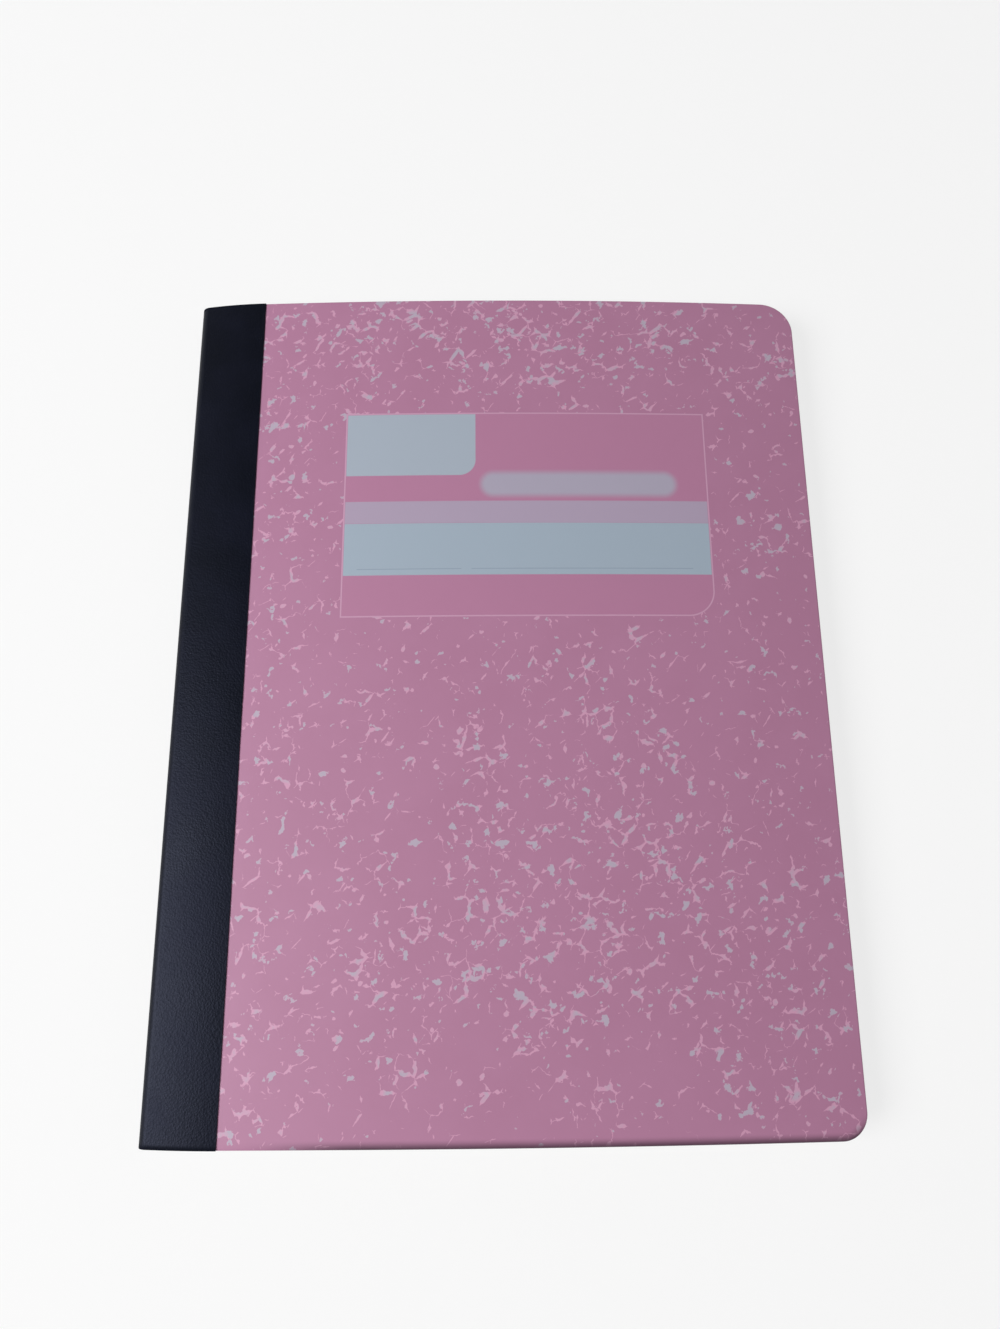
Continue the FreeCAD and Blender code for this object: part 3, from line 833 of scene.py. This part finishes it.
# %% Line of the outermost sheet
SHEETS = 50
PAGE_ROOM = 0.1 * MM
GLUE_ROOM = 0.05 * MM
PAGE_INSET = 0.25 * MM
PAPER_SHARE = 0.78
INNER_FOLD_X = SPINE_X + 2.7 * MM
page_depth = BOARD + PAGE_ROOM
fold_radius = SPINE_ROUND - TAPE - GLUE_ROOM
page_columns = column_places(JOGGLE_X, inset=PAGE_INSET, spacing=6 * MM)


def fold_points(centre_z, first, last, steps=8):
    """Points of the outermost sheet round one edge of the spine, between two angles."""
    turns = [math.radians(first + (last - first) * step / steps) for step in range(steps + 1)]
    return [(FOLD_X + fold_radius * math.cos(turn), centre_z + fold_radius * math.sin(turn))
            for turn in turns]


near_spine = [FOLD_X - 0.4 * MM, FOLD_X + 3 * MM, FOLD_X + 8 * MM, FOLD_X + 13 * MM, LAP_X]
front_run = [(x, front_height(x, page_depth)) for x in near_spine + page_columns]
back_run = [(x, back_height(x) + page_depth) for x in near_spine + page_columns]
outer_line = (front_run[::-1] + fold_points(FRONT_FOLD_Z, 102, 180) + fold_points(SPINE_ROUND, 180, 268)
              + back_run)
print("points along a sheet:", len(outer_line))


# %% Nest the sheets
PAGE_TONES = {"light": (243, 240, 233), "middle": (234, 230, 221), "dark": (219, 214, 202)}
FIRST_PAGE, LAST_PAGE = len(PAGE_TONES), len(PAGE_TONES) + 1
UNEVEN_TRIM = 0.07
TONE_CHANGE = 0.6


def toward_middle(x, z, share):
    """A point of the outermost sheet, drawn in towards the middle line of the book."""
    at_x = max(x, INNER_FOLD_X)
    above = front_height(max(at_x, FOLD_X), page_depth)
    below = back_height(at_x) + page_depth
    return x + (at_x - x) * share, z + ((above + below) / 2 - z) * share


def sheet_faces(start, count):
    """Faces of one folded sheet: outer, inner, head, tail and its two trimmed fore-edges."""
    outer_tail, outer_head, inner_tail, inner_head = [start + count * ring for ring in range(4)]
    faces = []
    for step in range(count - 1):
        after = step + 1
        faces.append([outer_tail + step, outer_head + step, outer_head + after, outer_tail + after])
        faces.append([inner_tail + step, inner_tail + after, inner_head + after, inner_head + step])
        faces.append([outer_head + step, inner_head + step, inner_head + after, outer_head + after])
        faces.append([outer_tail + step, outer_tail + after, inner_tail + after, inner_tail + step])
    for step in (0, count - 1):
        ends = [outer_tail + step, inner_tail + step, inner_head + step, outer_head + step]
        faces.append(ends if step == 0 else ends[::-1])
    return faces


def make_pages(materials):
    """All sheets in one piece. A sheet often keeps the tone of the last, so tones come in bands."""
    chance = random.Random(9)
    points, faces, slots = [], [], []
    count = len(outer_line)
    tone = 0
    for sheet in range(SHEETS):
        trim = [chance.uniform(0, UNEVEN_TRIM) * MM for _ in range(3)]
        if chance.random() < TONE_CHANGE:
            tone = chance.randrange(len(PAGE_TONES))
        start = len(points)
        for depth in (sheet, sheet + PAPER_SHARE):
            for end in (0, 1):
                for x, z in outer_line:
                    trimmed = -trim[end] if end else trim[end]
                    at_x, at_z = toward_middle(x, z, depth / SHEETS)
                    at_x = min(at_x, FORE_X - PAGE_INSET - trim[2])
                    points.append((at_x, column_ends(x, PAGE_INSET)[end] + trimmed, at_z))
        made = sheet_faces(start, count)
        faces += made
        slots += [tone] * len(made)
        if sheet == 0:
            for step in range(count - 1):
                slots[step * 4] = FIRST_PAGE if step < count // 2 else LAST_PAGE
    return make_piece("pages", points, faces, materials, slots, sharp=50)


# %% [markdown]
# Wide ruling is 8.7 mm from line to line under a deep margin at the head, in pale blue, crossed by
# a pink margin line. It is printed on every page, and the two that a cover uncovers show it: the
# first page has its margin beside the fold, the last beside the fore-edge.

# %% Ruled paper
RULING_PITCH = 8.7
HEAD_MARGIN = 32
SIDE_MARGIN = 31.75
PAGE_WHITE, PAGE_CLOUD = screen_colour(240, 238, 231), screen_colour(232, 229, 221)
RULE_BLUE, MARGIN_PINK = screen_colour(150, 183, 214), screen_colour(222, 142, 158)
RULE_INK = 0.8


def make_ruled_page(name, margin_x):
    """Ruled paper whose margin line stands at margin_x."""
    finish = Finish(name, roughness=0.8, specular_ior_level=0.3)
    place = finish.place()
    x, y, _ = finish.split(place)
    down = (HEAD_Y / MM - HEAD_MARGIN) - y
    in_pitch = finish.node("Math", {"operation": "PINGPONG"}, {0: down, 1: RULING_PITCH / 2})
    rule = (1 - in_pitch.rise(0.1, 0.2)) * down.rise(-0.3, -0.2)
    margin = 1 - abs(x - margin_x).rise(0.12, 0.22)
    colour = finish.mixed(finish.noise(place, 0.05, detail=3), PAGE_WHITE, PAGE_CLOUD)
    colour = finish.mixed(rule * RULE_INK, colour, RULE_BLUE)
    colour = finish.mixed(margin * RULE_INK, colour, MARGIN_PINK)
    finish.shows(base_color=colour, normal=finish.bump(finish.noise(place, 1.6, detail=4), 0.02 * MM, 0.4))
    return finish.material


page_edges = [make_paper("page_edges_" + name, screen_colour(*tone), 0.3, 2.0)
              for name, tone in PAGE_TONES.items()]
pages = make_pages(page_edges + [make_ruled_page("first_page", SPINE_X / MM + SIDE_MARGIN),
                                 make_ruled_page("last_page", FORE_X / MM - SIDE_MARGIN)])
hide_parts("page_block")
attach(pages, "book_block")

# %% [markdown]
# ## The thread
#
# A cotton thread runs in and out through the fold. Only its finish is new: two plies twist round
# each other in slanting ridges, and the grooves between them are painted a little darker as painted
# shade.

# %% Cotton
def make_cotton():
    finish = Finish("cotton_thread", roughness=0.9, specular_ior_level=0.2)
    place = finish.place()
    plies = finish.node("TexWave", {"bands_direction": "DIAGONAL"},
                        {"Vector": place, "Scale": 1.4, "Distortion": 1.5, "Detail": 2})
    # Darker where the plies sink: painted shade in the grooves.
    colour = finish.mixed(plies, screen_colour(222, 218, 208), screen_colour(238, 235, 227))
    finish.shows(base_color=colour, normal=finish.bump(plies, 0.05 * MM, 0.6))
    return finish.material


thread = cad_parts["stitching_thread"]
thread.data.materials.clear()
thread.data.materials.append(make_cotton())
print("thread material:", thread.data.materials[0].name)

# %% [markdown]
# ## Floor, light and background
#
# The book lies on a pale floor that sweeps up into a pale wall all round, like a photographer's
# paper roll, so that a low view sees no horizon. A floor lit by a near lamp darkens away from it, so
# for the camera and in reflections most of its brightness is set directly, and the rest still comes
# from the light, which keeps the soft shadow round the book. The floor lies a little over a
# millimetre below the book: the back cover opens down past the underside, and needs that room to
# stay in sight. One large lamp stands high on the spine side towards the tail, which is where the
# tape shines, and a plain white sky fills the rest.

# %% Floor
FLOOR_TONE = screen_colour(240, 240, 240)
GLOW_TONE = screen_colour(249, 249, 249)
GLOW_SHARE = 0.82


def make_floor():
    """Lit as paper is, and seen mostly by its own glow: straight, mirrored or through glass."""
    finish = Finish("pale_floor", roughness=0.9, specular_ior_level=0.0, base_color=FLOOR_TONE)
    lit = Wire(finish, finish.surface.outputs[0])
    glow = finish.node("Emission", inputs={"Color": GLOW_TONE, "Strength": 1.0})
    straight, mirrored, through = [finish.node("LightPath", output=ray) for ray in
                                   ("Is Camera Ray", "Is Glossy Ray", "Is Transmission Ray")]
    seen = straight.most(mirrored).most(through) * GLOW_SHARE
    both = finish.node("MixShader", inputs={0: seen, 1: lit, 2: glow})
    finish.feed(finish.tree.nodes["Material Output"].inputs["Surface"], both)
    return finish.material


FLOOR_BELOW = 1.2 * MM
FLAT_RINGS = (0.5, 1.3)
WALL_RADIUS, WALL_TOP, SWEEP = 3.0, 2.4, 0.9
SPOKES, SWEEP_STEPS = 64, 10


def make_studio():
    """A round floor that sweeps up into a wall."""
    profile = [(radius, 0) for radius in FLAT_RINGS]
    for step in range(SWEEP_STEPS + 1):
        turn = math.radians(90 * step / SWEEP_STEPS)
        profile.append((WALL_RADIUS - SWEEP + SWEEP * math.sin(turn), SWEEP - SWEEP * math.cos(turn)))
    profile.append((WALL_RADIUS, WALL_TOP))
    points = [(0, 0, -FLOOR_BELOW)]
    for radius, height in profile:
        for spoke in range(SPOKES):
            turn = 2 * math.pi * spoke / SPOKES
            points.append((radius * math.cos(turn), radius * math.sin(turn), height - FLOOR_BELOW))
    faces = [(0, 1 + spoke, 1 + (spoke + 1) % SPOKES) for spoke in range(SPOKES)]
    for ring in range(len(profile) - 1):
        for spoke in range(SPOKES):
            here, beside = 1 + ring * SPOKES + spoke, 1 + ring * SPOKES + (spoke + 1) % SPOKES
            faces.append((here, here + SPOKES, beside + SPOKES, beside))
    return make_piece("floor", points, faces, [make_floor()], sharp=60)


make_studio()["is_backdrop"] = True

# %% Lamp and sky
SKY_LEVEL = 0.25


def add_lamp(name, place, target, size, power):
    """A square lamp that faces the target."""
    light = bpy.data.lights.new(name, "AREA")
    light.shape = "SQUARE"
    light.size = size
    light.energy = power
    lamp = bpy.data.objects.new(name, light)
    lamp.location = place
    aim = Vector(target) - Vector(place)
    lamp.rotation_euler = aim.to_track_quat("-Z", "Y").to_euler()
    bpy.context.scene.collection.objects.link(lamp)
    print("%s: %.1f W" % (name, power))


add_lamp("window", place=(-1.02, -0.24, 0.9), target=(0, 0, 0), size=0.72, power=22.8)
sky = bpy.data.worlds.new("white_sky")
bpy.context.scene.world = sky
sky.use_nodes = True
sky.node_tree.nodes["Background"].inputs["Color"].default_value = (1, 1, 1, 1)
sky.node_tree.nodes["Background"].inputs["Strength"].default_value = SKY_LEVEL
bpy.context.scene.view_settings.view_transform = "Standard"

# %% [markdown]
# ## Camera
#
# The photograph was taken by hand from above the lower half of the book, leaning towards its head.
# The place and the tilt come from fitting the book's corners and the label to the picture. Blender
# measures the lens along the longer side of the frame, which is the upright one here.

# %% Camera
PICTURE_HEIGHT = 1329
FOCAL_PIXELS = 900
SENSOR = 36
CAMERA_PLACE = (-1.40 * MM, -57.9 * MM, 264.8 * MM)
CAMERA_TILT = (0.239, -0.004, -0.009)
camera_data = bpy.data.cameras.new("camera")
camera_data.sensor_width = SENSOR
camera_data.lens = camera_data.sensor_width * FOCAL_PIXELS / PICTURE_HEIGHT
camera = bpy.data.objects.new("camera", camera_data)
camera.location = CAMERA_PLACE
camera.rotation_euler = CAMERA_TILT
bpy.context.scene.collection.objects.link(camera)
bpy.context.scene.camera = camera
print("lens %.2f mm" % camera_data.lens)

# %% [markdown]
# ## The size shown
#
# Dressing the book must not change its size, so the box of what is now shown is written out.

# %% Write the shown box
shown_box = [list(corner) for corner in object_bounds()]
print("shown %.2f by %.2f by %.2f mm" % tuple((high - low) / MM for low, high in zip(*shown_box)))
